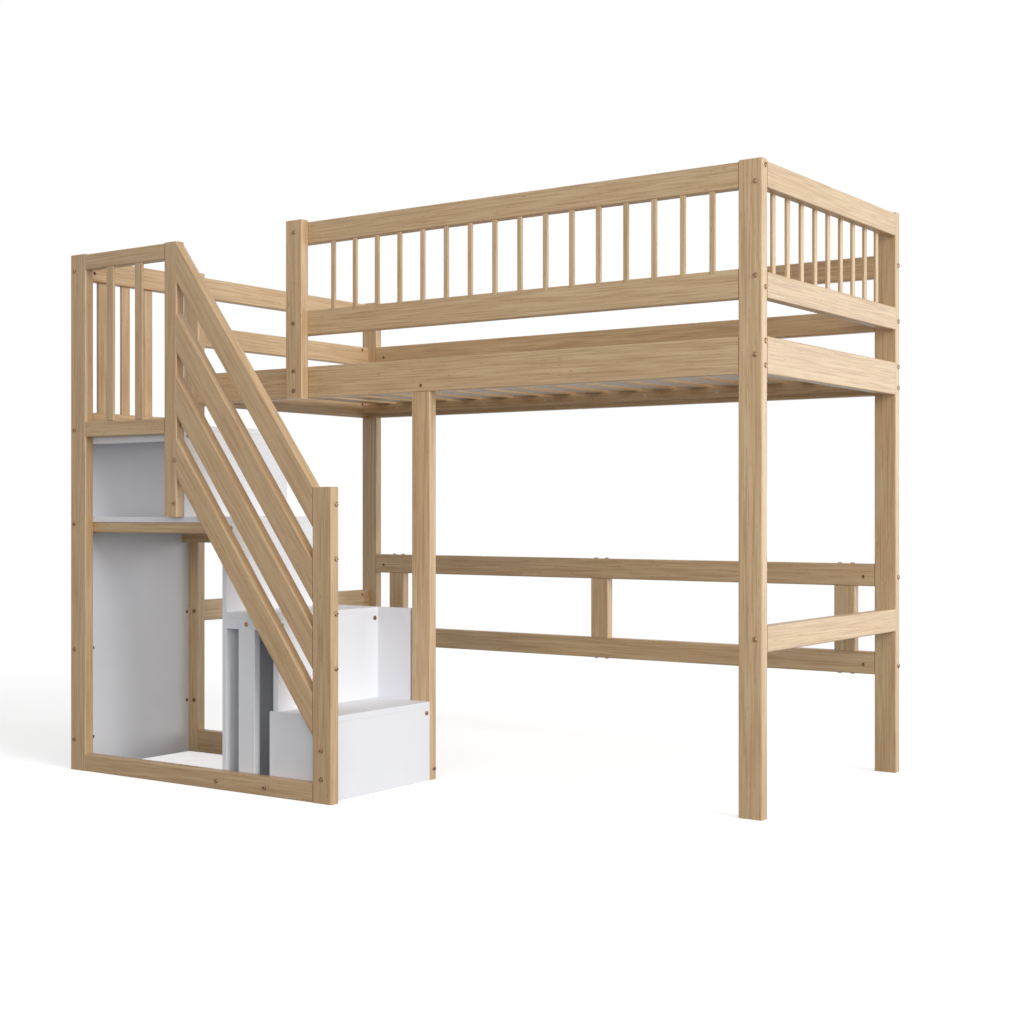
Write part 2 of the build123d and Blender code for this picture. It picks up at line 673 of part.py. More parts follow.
def board(x, y, z):
    """Adds a flat board to the open part, with every edge slightly eased."""
    with BuildSketch(Plane.XY.offset(z[0])) as outline:
        with Locations((middle(x), middle(y))):
            Rectangle(length(x), length(y))
    extrude(outline.sketch, amount=length(z))
    fillet(edges(), radius=panel_ease)


def ease_top():
    """Rounds the arris round the top of the open part."""
    fillet(faces().sort_by(Axis.Z)[-1].edges(), radius=top_ease)


def cut_cylinder(start, run, radius, deep):
    """Cuts a round bore from a point along a direction."""
    with BuildSketch(Plane(origin=start, z_dir=run)) as mouth:
        Circle(radius)
    extrude(mouth.sketch, amount=deep, mode=Mode.SUBTRACT)


def along_run(item, distance):
    """Point at a distance along a fastener's run."""
    return tuple(s + distance * r for s, r in zip(item.seat, item.run))


def shank(item):
    """Radius of a fastener's shank."""
    radii = {"bolt": shank_radius, "stud": shank_radius, "screw": screw_radius,
             "timber_dowel": timber_dowel_radius, "panel_dowel": panel_dowel_radius}
    return radii[item.kind]


def bores(name):
    """Cuts the bores of every fastener that passes through the named piece."""
    for item in fasteners:
        if name not in item.pieces:
            continue
        start = item.seat
        if item.kind in ("stud", "timber_dowel", "panel_dowel"):
            start = along_run(item, -bore_clearance)
        sink = bolt_head_height if item.sunk else 0.0
        cut_cylinder(start, item.run, shank(item) + bore_clearance,
                     item.reach + sink + 2 * bore_clearance)
        if item.sunk and name == item.pieces[0]:
            cut_cylinder(item.seat, item.run, bolt_head_radius + bore_clearance,
                         bolt_head_height + bore_clearance)
        if item.kind == "screw" and name == item.pieces[0]:
            cut_cylinder(item.seat, item.run, screw_head_radius + bore_clearance,
                         screw_head_height)
        if item.nut_way and name == item.pieces[-1]:
            centre = along_run(item, item.nut_at)
            inner = tuple(c - (nut_inner + bore_clearance) * w for c, w in zip(centre, item.nut_way))
            cut_cylinder(inner, item.nut_way, nut_radius + bore_clearance,
                         nut_inner + bore_clearance + item.nut_open)


def keep(piece, name):
    """Labels a finished piece and writes its file."""
    piece.part.label = name
    export_step(piece.part, f"parts/{name}.step")


os.makedirs("parts", exist_ok=True)

# Corner posts of the bed
posts = (
    ("leg_front_right", x_post_right, y_front_timber, high_post_top),
    ("leg_back_right", x_post_right, y_back_timber, high_post_top),
    ("leg_back_left", x_post_left, y_back_timber, low_post_top),
    ("leg_front_left", x_post_left, y_front_timber, low_post_top),
)
for name, x, y, top in posts:
    with BuildPart() as post:
        bar(x, y, (0.0, top), "Z")
        ease_top()
        bores(name)
    keep(post, name)

# Middle leg, which stands under the front beam
with BuildPart() as leg_front_middle:
    bar(x_middle_leg, y_front_timber, (0.0, beam_bottom), "Z")
    bores("leg_front_middle")
keep(leg_front_middle, "leg_front_middle")

# Guard post, bolted on the face of the front beam
with BuildPart() as guard_post:
    bar(x_guard_post, (y_bed - timber, y_bed), (beam_bottom - guard_post_overlap, high_post_top), "Z")
    ease_top()
    bores("guard_post")
keep(guard_post, "guard_post")

# Beams that carry the slatted base, and the other single rails of the bed
bed_rails = (
    ("beam_front", x_between_posts, y_front_timber, z_beam, "X"),
    ("beam_back", x_between_posts, y_back_timber, z_beam, "X"),
    ("beam_left", x_end_left, y_inside, z_beam, "Y"),
    ("beam_right", x_end_right, y_inside, z_beam, "Y"),
    ("guard_rail_front_top", x_guard, y_front_timber, z_guard_top, "X"),
    ("guard_rail_right_top", x_end_right, y_inside, z_guard_top, "Y"),
    ("guard_rail_right_middle", x_end_right, y_inside, z_middle, "Y"),
    ("brace_left", x_end_left, y_inside, z_end_brace, "Y"),
    ("brace_right", x_end_right, y_inside, z_end_brace, "Y"),
)
for name, x, y, z, along in bed_rails:
    with BuildPart() as rail:
        bar(x, y, z, along)
        bores(name)
    keep(rail, name)

# Pairs of equal rails: the back guard and the left end guard
with BuildPart() as back_rails:
    for z in (z_low_top, z_middle):
        bar(x_between_posts, y_back_timber, z, "X")
    bores("back_rails")
keep(back_rails, "back_rails")

with BuildPart() as left_rails:
    for z in (z_low_top, z_middle):
        bar(x_end_left, y_inside, z, "Y")
    bores("left_rails")
keep(left_rails, "left_rails")

# Braces low down at the back, and the blocks that tie them together
with BuildPart() as back_braces:
    for z in (z_brace_high, z_brace_low):
        bar(x_between_posts, y_back_timber, z, "X")
    bores("back_braces")
keep(back_braces, "back_braces")

with BuildPart() as back_brace_blocks:
    for x in x_blocks:
        bar(x, y_back_timber, (z_brace_low[1], z_brace_high[0]), "Z")
    bores("back_brace_blocks")
keep(back_brace_blocks, "back_brace_blocks")

# Ledgers along the insides of the two long beams
with BuildPart() as ledgers:
    for y in (y_ledger_front, y_ledger_back):
        bar(x_inside, y, z_ledger, "X", spindle_ease)
    bores("ledgers")
keep(ledgers, "ledgers")

# Slats, evenly spaced between the end beams
with BuildPart() as slats:
    for x in slat_centres:
        bar((x - slat_width / 2, x + slat_width / 2), y_inside, z_slat, "Y", spindle_ease)
    bores("slats")
keep(slats, "slats")

# Front spindles stand in notches along the top front edge of the middle guard rail
front_spindle_pitch = ((x_guard[1] - front_spindle_last) - (x_guard[0] + front_spindle_first)) / (
    front_spindle_count - 1)
front_spindles = tuple(x_guard[0] + front_spindle_first + front_spindle_pitch * i
                       for i in range(front_spindle_count))
z_front_spindle = (z_guard_middle[1] - spindle_foot, z_guard_top[0])

with BuildPart() as guard_rail_front_middle:
    bar(x_guard, y_front_timber, z_guard_middle, "X")
    with BuildSketch(Plane.XY.offset(z_front_spindle[0])):
        with Locations([(x, y_bed) for x in front_spindles]):
            Rectangle(front_spindle_width + 2 * fit_clearance,
                      2 * (spindle_thickness + fit_clearance))
    extrude(amount=spindle_foot, mode=Mode.SUBTRACT)
    bores("guard_rail_front_middle")
keep(guard_rail_front_middle, "guard_rail_front_middle")

with BuildPart() as guard_spindles_front:
    for x in front_spindles:
        bar((x - front_spindle_width / 2, x + front_spindle_width / 2),
            (y_bed, y_bed + spindle_thickness), z_front_spindle, "Z", spindle_ease)
keep(guard_spindles_front, "guard_spindles_front")

# Spindles of the right end, flush with the inner faces of its rails
end_spindle_pitch = length(y_inside) / (end_spindle_count + 1)
with BuildPart() as guard_spindles_right:
    for i in range(end_spindle_count):
        y = y_inside[0] + end_spindle_pitch * (i + 1)
        bar((x_end_right[0], x_end_right[0] + spindle_thickness),
            (y - end_spindle_width / 2, y + end_spindle_width / 2),
            (z_middle[1], z_guard_top[0]), "Z", spindle_ease)
keep(guard_spindles_right, "guard_spindles_right")

# Three posts at the front of the stair
stair_posts = (
    ("stair_post_left", x_post_left, 0.0, low_post_top),
    ("stair_post_middle", x_newel, z_shelf[1], low_post_top),
    ("stair_post_right", x_stair_end, 0.0, newel_top),
)
for name, x, foot, top in stair_posts:
    with BuildPart() as post:
        bar(x, y_stair_timber, (foot, top), "Z")
        ease_top()
        bores(name)
    keep(post, name)

# Level rails of the stair
x_landing_front = (x_post_left[1], x_newel[0])
x_bottom_rail = (x_post_left[1], x_stair_end[0])
x_back_bottom_rail = (x_post_left[1], x_middle_leg[0])
stair_rails = (
    ("landing_rail_front_top", x_landing_front, y_stair_timber, z_front_top, "X"),
    ("landing_rail_front_low", x_landing_front, y_stair_timber, z_front_low, "X"),
    ("stair_bottom_rail_front", x_bottom_rail, y_stair_timber, z_bottom_rail, "X"),
    ("stair_bottom_rail_back", x_back_bottom_rail, y_front_timber, z_back_bottom_rail, "X"),
    ("shelf_rail_front", (x_side_panel[1], x_divider[0]), y_front_cleat, z_shelf_front_rail, "X"),
    ("shelf_rail_back", (x_side_panel[1], x_divider[0]), y_back_cleat, z_shelf_back_rail, "X"),
)
for name, x, y, z, along in stair_rails:
    with BuildPart() as rail:
        bar(x, y, z, along)
        bores(name)
    keep(rail, name)

# Side rails of the landing, with mortises for their balusters
side_pitch = (length(y_stair_inside) + side_baluster_width) / (side_baluster_count + 1)
side_balusters = tuple(y_inner - side_baluster_width / 2 + side_pitch * (i + 1)
                       for i in range(side_baluster_count))


def mortises(z):
    """Cuts the baluster mortises upward from a height in the open side rail."""
    with BuildSketch(Plane.XY.offset(z)) as pockets:
        with Locations([(x_side_dowel, y) for y in side_balusters]):
            Rectangle(side_baluster_thickness + 2 * fit_clearance,
                      side_baluster_width + 2 * fit_clearance)
    extrude(pockets.sketch, amount=tenon_length + fit_clearance, mode=Mode.SUBTRACT)


with BuildPart() as landing_rail_side_top:
    bar(x_end_left, y_stair_inside, z_low_top, "Y")
    mortises(z_low_top[0])
    bores("landing_rail_side_top")
keep(landing_rail_side_top, "landing_rail_side_top")

with BuildPart() as landing_rail_side_low:
    bar(x_end_left, y_stair_inside, z_side_low, "Y")
    mortises(z_side_low[1] - tenon_length - fit_clearance)
    bores("landing_rail_side_low")
keep(landing_rail_side_low, "landing_rail_side_low")

with BuildPart() as landing_balusters_side:
    for y in side_balusters:
        bar((x_side_dowel - side_baluster_thickness / 2, x_side_dowel + side_baluster_thickness / 2),
            (y - side_baluster_width / 2, y + side_baluster_width / 2),
            (z_side_low[1] - tenon_length, z_low_top[0] + tenon_length), "Z", spindle_ease)
keep(landing_balusters_side, "landing_balusters_side")

# Front balusters of the landing, flush with the front of their rails
front_pitch = (length(x_landing_front) + front_baluster_width) / (front_baluster_count + 1)
with BuildPart() as landing_balusters_front:
    for i in range(front_baluster_count):
        x = x_landing_front[0] - front_baluster_width / 2 + front_pitch * (i + 1)
        bar((x - front_baluster_width / 2, x + front_baluster_width / 2),
            (y_stair, y_stair + front_baluster_thickness), (z_front_low[1], z_front_top[0]),
            "Z", spindle_ease)
keep(landing_balusters_front, "landing_balusters_front")

# Stair rails, cut plumb against the newel and the end post
for name, drop in zip(stair_rail_names, stair_rail_drops):
    with BuildPart() as stair_rail:
        with BuildSketch(Plane(origin=(0, y_inner, 0), x_dir=to_right, z_dir=to_front)):
            with BuildLine():
                half = stair_rail_tall / 2
                high = stair_rail_centre(drop, x_newel[1])
                low = stair_rail_centre(drop, x_stair_end[0])
                Polyline((x_newel[1], high + half), (x_stair_end[0], low + half),
                         (x_stair_end[0], low - half), (x_newel[1], high - half), close=True)
            make_face()
        extrude(amount=timber)
        sloping = edges().filter_by(lambda edge: abs(edge.tangent_at(0.5).X * edge.tangent_at(0.5).Z) > 0.1)
        fillet(sloping, radius=timber_ease)
        bores(name)
    keep(stair_rail, name)

# White boards of the stair
boards = (
    ("side_panel_left", x_side_panel, y_stair_inside, (0.0, z_side_low[0])),
    ("landing_board", (x_end_left[1], x_riser_top[1]), y_stair_inside, z_landing),
    ("shelf_board", (x_side_panel[1], x_divider[1]), y_stair_inside, z_shelf),
    ("riser_top", x_riser_top, y_stair_inside, (z_shelf[1], z_landing[0])),
    ("divider_panel", x_divider, y_stair_inside, (0.0, z_shelf[0])),
    ("riser_low", x_riser_low, y_stair_inside, (z_step[1], z_tread[0])),
    ("tread_2", (x_divider[1], x_riser_low[1]), y_stair_inside, z_tread),
    ("step_1_top", (x_step_left[0], x_step_right[1]), y_stair_inside, z_step),
    ("step_1_front", (x_step_left[1], x_step_right[0]), (y_inner, y_inner + panel), (0.0, z_step[0])),
    ("back_panel", (x_divider[0], x_middle_leg[0] - back_panel_gap), (y_bed, y_bed + panel),
     (back_bottom_rail_height, z_tread[1])),
)
for name, x, y, z in boards:
    with BuildPart() as white_board:
        board(x, y, z)
        bores(name)
    keep(white_board, name)

with BuildPart() as step_1_sides:
    for x in (x_step_left, x_step_right):
        bar(x, y_stair_inside, (0.0, z_step[0]), "Z", panel_ease)
    bores("step_1_sides")
keep(step_1_sides, "step_1_sides")

# Cleats under the landing, the tread and the first step
with BuildPart() as landing_cleats:
    for y in (y_front_cleat, y_back_cleat):
        bar((x_side_panel[1], x_riser_top[0]), y, z_landing_cleat, "X", panel_ease)
    bores("landing_cleats")
keep(landing_cleats, "landing_cleats")

with BuildPart() as tread_cleat_front:
    bar((x_divider[1], x_riser_low[0]), y_front_cleat, z_tread_cleat, "X", panel_ease)
    with BuildSketch(Plane.XY.offset(z_tread_cleat[0])):
        with Locations((middle(x_storage_post), y_inner)):
            Rectangle(storage_post_width + 2 * fit_clearance, 2 * (storage_post_depth + fit_clearance))
    extrude(amount=cleat_height, mode=Mode.SUBTRACT)
    bores("tread_cleat_front")
keep(tread_cleat_front, "tread_cleat_front")

with BuildPart() as back_cleats:
    bar((x_divider[1], x_riser_low[0]), y_back_cleat, z_tread_cleat, "X", panel_ease)
    bar((x_step_left[1], x_step_right[0]), y_back_cleat, z_step_cleat, "X", panel_ease)
    bores("back_cleats")
keep(back_cleats, "back_cleats")

# Upright between the two open bays under the tread
with BuildPart() as storage_post:
    bar(x_storage_post, (y_inner, y_inner + storage_post_depth), (0.0, z_tread[0]), "Z", panel_ease)
    bores("storage_post")
keep(storage_post, "storage_post")


def bolt_shape(item):
    """A bolt with a socket in its round head, or a plain stud, at its place."""
    with BuildPart() as shape:
        with BuildSketch():
            Circle(shank_radius)
        extrude(amount=item.reach)
        if item.kind == "bolt":
            with BuildSketch():
                Circle(bolt_head_radius)
            extrude(amount=-bolt_head_height)
            fillet(edges().sort_by(Axis.Z)[0], radius=bolt_head_height / 3)
            with BuildSketch(Plane.XY.offset(-bolt_head_height)):
                RegularPolygon(socket_radius, 6)
            extrude(amount=socket_depth, mode=Mode.SUBTRACT)
    shift = bolt_head_height if item.sunk else 0.0
    return Plane(origin=along_run(item, shift), z_dir=item.run) * shape.part


def screw_shape(item):
    """A wood screw with a flat head, at its place."""
    with BuildPart() as shape:
        with BuildSketch():
            Circle(screw_radius)
        extrude(amount=item.reach)
        with BuildSketch():
            Circle(screw_head_radius)
        extrude(amount=screw_head_height)
        with BuildSketch():
            Rectangle(screw_head_radius, 1.0)
            Rectangle(1.0, screw_head_radius)
        extrude(amount=1.0, mode=Mode.SUBTRACT)
    return Plane(origin=item.seat, z_dir=item.run) * shape.part


def dowel_shape(item):
    """A wooden dowel at its place."""
    with BuildPart() as shape:
        with BuildSketch():
            Circle(shank(item))
        extrude(amount=item.reach)
    return Plane(origin=item.seat, z_dir=item.run) * shape.part


def nut_shape(item):
    """A barrel nut across the end of a bolt, with the hole that the bolt runs through."""
    centre = along_run(item, item.nut_at)
    start = tuple(c - nut_inner * w for c, w in zip(centre, item.nut_way))
    with BuildPart() as shape:
        with BuildSketch(Plane(origin=start, z_dir=item.nut_way)):
            Circle(nut_radius)
        extrude(amount=nut_inner + item.nut_end)
        with BuildSketch(Plane(origin=centre, z_dir=item.run)):
            Circle(shank_radius + bore_clearance)
        extrude(amount=nut_radius + 1.0, both=True, mode=Mode.SUBTRACT)
    return shape.part


# Hardware, each kind as one group of separate pieces
groups = (
    ("bolts", [bolt_shape(item) for item in fasteners if item.kind in ("bolt", "stud")]),
    ("barrel_nuts", [nut_shape(item) for item in fasteners if item.nut_way]),
    ("screws", [screw_shape(item) for item in fasteners if item.kind == "screw"]),
    ("dowels", [dowel_shape(item) for item in fasteners if "dowel" in item.kind]),
)
for name, shapes in groups:
    with BuildPart() as hardware:
        add(shapes)
    keep(hardware, name)
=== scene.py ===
# %% [markdown]
# A loft bed with a storage stair, as a lesson in finishing a imported model.
# Every timber, board and bolt is already at its real size in the frame, so this script adds what the
# frame leaves out: the grain and the lacquer of each timber, the white face of each board, and the
# machined shape of each bolt. The frame is loaded first.

# %% Load the frame
import math

import bmesh
import bpy
from mathutils import Matrix, Vector


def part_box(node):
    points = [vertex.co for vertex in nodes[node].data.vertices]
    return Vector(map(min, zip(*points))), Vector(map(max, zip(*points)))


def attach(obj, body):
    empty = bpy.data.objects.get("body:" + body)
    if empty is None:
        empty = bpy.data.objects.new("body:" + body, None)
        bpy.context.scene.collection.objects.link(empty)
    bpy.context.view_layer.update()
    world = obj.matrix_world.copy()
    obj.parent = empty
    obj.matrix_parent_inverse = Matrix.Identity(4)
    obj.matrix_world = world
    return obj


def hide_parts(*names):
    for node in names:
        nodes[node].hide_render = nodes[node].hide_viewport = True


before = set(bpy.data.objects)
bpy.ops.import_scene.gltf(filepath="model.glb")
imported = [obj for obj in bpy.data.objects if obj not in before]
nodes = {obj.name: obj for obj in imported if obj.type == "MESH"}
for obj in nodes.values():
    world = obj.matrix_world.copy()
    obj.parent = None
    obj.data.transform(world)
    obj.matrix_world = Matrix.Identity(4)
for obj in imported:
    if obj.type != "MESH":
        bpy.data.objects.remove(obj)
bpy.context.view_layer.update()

print("nodes in the frame:", len(nodes))

# %% [markdown]
# The camera stands where the photographer stood: low, level, to the right of the bed and well in
# front of it. A level camera keeps the posts upright in the picture, and a long lens keeps the
# near post from swelling. A camera turned by eye would never quite match, so the place and the turn
# were worked out from the edges of the bed in the photograph, which is square.

# %% Camera at the photograph's angle
camera_place = (2.7126, -3.7385, 0.7493)
camera_turn = math.radians(34.92)
level = math.radians(90)
lens_mm = 55.96
sensor_mm = 36.0
sight_limit = 100.0

bpy.ops.object.camera_add(location=camera_place, rotation=(level, 0, camera_turn))
camera = bpy.context.object
camera.name = "photo_camera"
camera.data.lens = lens_mm
camera.data.sensor_width = sensor_mm
camera.data.clip_end = sight_limit
bpy.context.scene.camera = camera
print("camera at", camera_place)

# %% [markdown]
# A finish is a small network of nodes. Building it one node at a time takes many lines, so these
# helpers add a node and join it in one. A link is given as the socket that it comes from. Colours
# are written as they look on a screen, from 0 to 255, and changed to the linear values that a
# shader works with. A Mix node keeps its sockets for numbers, vectors and colours in one list, so
# the ones for colours are picked by their place in it.

# %% Helpers for node trees


def new_material(name):
    """A new material with its node tree, its shader and nothing else."""
    material = bpy.data.materials.new(name)
    material.use_nodes = True
    tree = material.node_tree
    shader = tree.nodes["Principled BSDF"]
    return material, tree, shader


def add_node(tree, kind, links=(), **settings):
    """Adds a node, sets its values and links its inputs. links holds (input, socket) pairs."""
    node = tree.nodes.new(kind)
    for key, value in settings.items():
        setattr(node, key, value)
    for target, source in links:
        tree.links.new(source, node.inputs[target])
    return node


def maths(tree, operation, first, second=0.0, third=None):
    """A Math node whose inputs are sockets or numbers. Returns its output socket."""
    node = tree.nodes.new("ShaderNodeMath")
    node.operation = operation
    for slot, value in enumerate((first, second, third)):
        if value is None:
            continue
        if isinstance(value, (int, float)):
            node.inputs[slot].default_value = value
        else:
            tree.links.new(value, node.inputs[slot])
    return node.outputs[0]


mix_inputs = (0, 6, 7)
mix_result = 2


def mix_colours(tree, factor, first, second, blend="MIX"):
    """A colour Mix node. Each input is a socket, a number or a colour. Returns its output."""
    node = tree.nodes.new("ShaderNodeMix")
    node.data_type = "RGBA"
    node.blend_type = blend
    for slot, value in zip(mix_inputs, (factor, first, second)):
        if isinstance(value, (int, float)):
            node.inputs[slot].default_value = value
        elif isinstance(value, tuple):
            node.inputs[slot].default_value = (*value, 1.0)
        else:
            tree.links.new(value, node.inputs[slot])
    return node.outputs[mix_result]


def in_range(tree, value, low, high, top=1.0, shape="LINEAR"):
    """0 where value is under low, top where it is over high, and a ramp between them."""
    node = add_node(tree, "ShaderNodeMapRange", [("Value", value)], interpolation_type=shape)
    node.inputs["From Min"].default_value = low
    node.inputs["From Max"].default_value = high
    node.inputs["To Max"].default_value = top
    return node.outputs[0]


def linear(red, green, blue):
    """A colour given as 0 to 255 on the screen, in the linear values that shaders use."""
    def one(value):
        value /= 255
        return value / 12.92 if value <= 0.04045 else ((value + 0.055) / 1.055) ** 2.4
    return one(red), one(green), one(blue)


print("a mid grey of 128 on the screen is", round(linear(128, 128, 128)[0], 3), "in a shader")

# %% [markdown]
# The timber is pale, straight-grained and clear-lacquered. Real grain is a solid pattern: growth
# rings run along the board and come out at its end as arcs. A picture wrapped round the board
# would break at every edge, so the pattern is made in space instead, from the piece's own Object
# coordinates. Four things make its colour: soft bands, thin dark lines between the growth rings,
# finer fibres, and short reddish flecks. Each takes its colour where a noise is over a threshold.

# %% Colours and thresholds of the timber
timber_pale = linear(217, 189, 148)
timber_mid = linear(203, 171, 129)
timber_dark = linear(177, 140, 98)
fleck_colour = linear(164, 112, 74)

band_low, band_high = 0.34, 0.62
ring_low, ring_high, ring_share = 0.46, 0.66, 0.72
fibre_low, fibre_high, fibre_share = 0.45, 0.80, 0.35
fleck_low, fleck_high, fleck_share = 0.73, 0.82, 0.50
print("pale timber, linear:", [round(part, 3) for part in timber_pale])

# %% [markdown]
# Wood changes slowly along a board and quickly across it, so every noise is drawn out along the
# board. One row of the table is one layer of the grain: how far it is drawn out, how fine it is
# across the board, how much detail it has, and where in the noise it starts. The starts differ,
# so that the layers don't lie on top of one another.

# %% Noise for the grain
grain = {
    "bands": (30.0, 75.0, 4.0, (0.0, 0.0, 0.0)),
    "rings": (45.0, 270.0, 2.0, (1.7, 0.3, 0.9)),
    "fibres": (110.0, 900.0, 1.0, (0.2, 1.9, 2.4)),
    "flecks": (6.0, 330.0, 0.0, (3.1, 2.2, 0.4)),
    "patches": (3.0, 3.2, 2.0, (5.1, 1.1, 4.2)),
}
grain_break = 0.55


def grain_noise(tree, place, layer):
    """One layer of the grain, as a socket from 0 to 1. Its long way is X."""
    stretch, scale, detail, start = grain[layer]
    mapping = add_node(tree, "ShaderNodeMapping", [("Vector", place)])
    mapping.inputs["Scale"].default_value = (1.0 / stretch, 1.0, 1.0)
    mapping.inputs["Location"].default_value = start
    noise = add_node(tree, "ShaderNodeTexNoise", [("Vector", mapping.outputs[0])])
    noise.inputs["Scale"].default_value = scale
    noise.inputs["Detail"].default_value = detail
    noise.inputs["Roughness"].default_value = grain_break
    return noise.outputs[0]


for layer, (stretch, scale, *_) in grain.items():
    print(layer, "are about", round(1000 / scale, 1), "mm wide and", round(stretch / scale, 3), "m long")

# %% [markdown]
# A real bed is cut from many boards, and no two match. Where one node of the frame holds several
# equal boards, the pitch between them tells one from the next: space is cut into steps of that
# pitch, and each step gets its own random number. The number moves the grain and lightens or
# darkens the board a little.

# %% A number for each board


def board_number(tree, place, start, pitch):
    """A random number from 0 to 1 for each board, where boards repeat at a pitch in metres."""
    shifted = add_node(tree, "ShaderNodeVectorMath", [("Vector", place)], operation="SUBTRACT")
    shifted.inputs[1].default_value = start
    snapped = add_node(tree, "ShaderNodeVectorMath", [("Vector", shifted.outputs[0])],
                       operation="SNAP")
    snapped.inputs[1].default_value = pitch
    noise = add_node(tree, "ShaderNodeTexWhiteNoise", [("Vector", snapped.outputs[0])],
                     noise_dimensions="3D")
    return noise.outputs["Value"]


board_shift = (7.3, 3.1, 5.7)


def board_place(tree, object_place, turn, number, seed):
    """The place in the grain: turned so that X lies along the board, and moved by its number."""
    turned = add_node(tree, "ShaderNodeMapping", [("Vector", object_place)])
    turned.inputs["Rotation"].default_value = turn
    shift = add_node(tree, "ShaderNodeCombineXYZ")
    for slot, share in enumerate(board_shift):
        moved = maths(tree, "MULTIPLY_ADD", number, share, seed * share)
        tree.links.new(moved, shift.inputs[slot])
    total = add_node(tree, "ShaderNodeVectorMath",
                     [(0, turned.outputs[0]), (1, shift.outputs[0])], operation="ADD")
    return total.outputs[0]


print("the grain is moved by up to", max(board_shift), "m from board to board")

# %% [markdown]
# The colour lays the bands, the rings, the fibres and the flecks over one another, in that order.
# A tone then tints it. For the stair that tone is painted shade, which darkens it for the dimmer
# light on the left. Wide patches and the board's own number lighten or darken it a little, so
# that no board is the same all over.

# %% The colour of the timber
board_variation = 0.09
patch_variation = 0.16


def timber_colour(tree, place, rings, fibres, number, tone):
    """The colour of the wood before the lacquer, as a socket."""
    bands = grain_noise(tree, place, "bands")
    flecks = grain_noise(tree, place, "flecks")
    patches = grain_noise(tree, place, "patches")
    band_share = in_range(tree, bands, band_low, band_high)
    colour = mix_colours(tree, band_share, timber_mid, timber_pale)
    ring_lines = in_range(tree, rings, ring_low, ring_high, ring_share)
    colour = mix_colours(tree, ring_lines, colour, timber_dark)
    fibre_lines = in_range(tree, fibres, fibre_low, fibre_high, fibre_share)
    colour = mix_colours(tree, fibre_lines, colour, timber_dark)
    fleck_spots = in_range(tree, flecks, fleck_low, fleck_high, fleck_share)
    colour = mix_colours(tree, fleck_spots, colour, fleck_colour)
    # The tone multiplied in here is painted shade on the stair's timber and leaves the bed's timber
    # unchanged.
    colour = mix_colours(tree, 1.0, colour, tone, "MULTIPLY")
    spread = maths(tree, "MULTIPLY_ADD", number, board_variation, 1.0 - board_variation / 2)
    patchy = maths(tree, "MULTIPLY_ADD", patches, patch_variation, 1.0 - patch_variation / 2)
    brightness = maths(tree, "MULTIPLY", spread, patchy)
    shade = add_node(tree, "ShaderNodeVectorMath", [("Vector", colour), ("Scale", brightness)],
                     operation="SCALE")
    return shade.outputs[0]


print("from the darkest board to the lightest the tone changes by", board_variation)

# %% [markdown]
# The finish sets how the lacquer shines. The rings and fibres that darken the wood also press into
# it, and the fibres break up its gloss, because lacquer sinks in where the wood is open. A thin
# clear coat gives the sheen that a lacquered board shows from the side.

# %% The timber finish
timber_roughness = 0.36
fibre_roughness = 0.16
coat_weight = 0.45
coat_roughness = 0.4
grain_bump = 0.12
grain_depth = 0.0006
ring_depth_share = 0.6


def timber(name, turn, boards, seed, tone=(1.0, 1.0, 1.0)):
    """A timber finish. turn brings the board's length to X, and boards says where they repeat."""
    material, tree, shader = new_material(name)
    object_place = add_node(tree, "ShaderNodeTexCoord").outputs["Object"]
    number = board_number(tree, object_place, *boards)
    place = board_place(tree, object_place, turn, number, seed)
    rings = grain_noise(tree, place, "rings")
    fibres = grain_noise(tree, place, "fibres")
    colour = timber_colour(tree, place, rings, fibres, number, tone)
    tree.links.new(colour, shader.inputs["Base Color"])
    roughness = maths(tree, "MULTIPLY_ADD", fibres, fibre_roughness, timber_roughness)
    tree.links.new(roughness, shader.inputs["Roughness"])
    shader.inputs["Coat Weight"].default_value = coat_weight
    shader.inputs["Coat Roughness"].default_value = coat_roughness
    height = maths(tree, "ADD", maths(tree, "MULTIPLY", rings, ring_depth_share), fibres)
    bump = add_node(tree, "ShaderNodeBump", [("Height", height)], invert=True)
    bump.inputs["Strength"].default_value = grain_bump
    bump.inputs["Distance"].default_value = grain_depth
    tree.links.new(bump.outputs[0], shader.inputs["Normal"])
    material.diffuse_color = (*timber_pale, 1.0)
    return material


print("lacquer roughness from", timber_roughness, "to", timber_roughness + fibre_roughness)

# %% [markdown]
# The places of the boards aren't typed in: they are measured on the frame. Points that lie on one
# another are merged in a working copy of the mesh, so that each solid hangs together. What is then
# joined by edges is one board, and the distance from one board to the next is the pitch. The slats
# are measured here to show it.

# %% Measure the boards of a node
merge_distance = 0.00002
far_off = 50.0


def loose_shells(source):
    """The vertices of each separate shell in a mesh, as lists of points."""
    work = bmesh.new()
    work.from_mesh(source)
    bmesh.ops.remove_doubles(work, verts=work.verts, dist=merge_distance)
    seen, shells = set(), []
    for start in work.verts:
        if start in seen:
            continue
        seen.add(start)
        queue, points = [start], []
        while queue:
            vertex = queue.pop()
            points.append(vertex.co.copy())
            for edge in vertex.link_edges:
                other = edge.other_vert(vertex)
                if other not in seen:
                    seen.add(other)
                    queue.append(other)
        shells.append(points)
    work.free()
    return shells


def one_board():
    """The place and pitch that make the whole node one board."""
    return (-far_off / 2,) * 3, (far_off,) * 3


def boards_along(name, axis):
    """Where the equal boards of a node repeat along an axis, measured on the boards."""
    middles = sorted(sum(point[axis] for point in shell) / len(shell)
                     for shell in loose_shells(nodes[name].data))
    start, pitch = [-far_off / 2] * 3, [far_off] * 3
    pitch[axis] = middles[1] - middles[0]
    start[axis] = middles[0] - pitch[axis] / 2
    print(name, "has", len(middles), "boards, every", round(pitch[axis], 4), "m")
    return tuple(start), tuple(pitch)


boards_along("slats", 0)

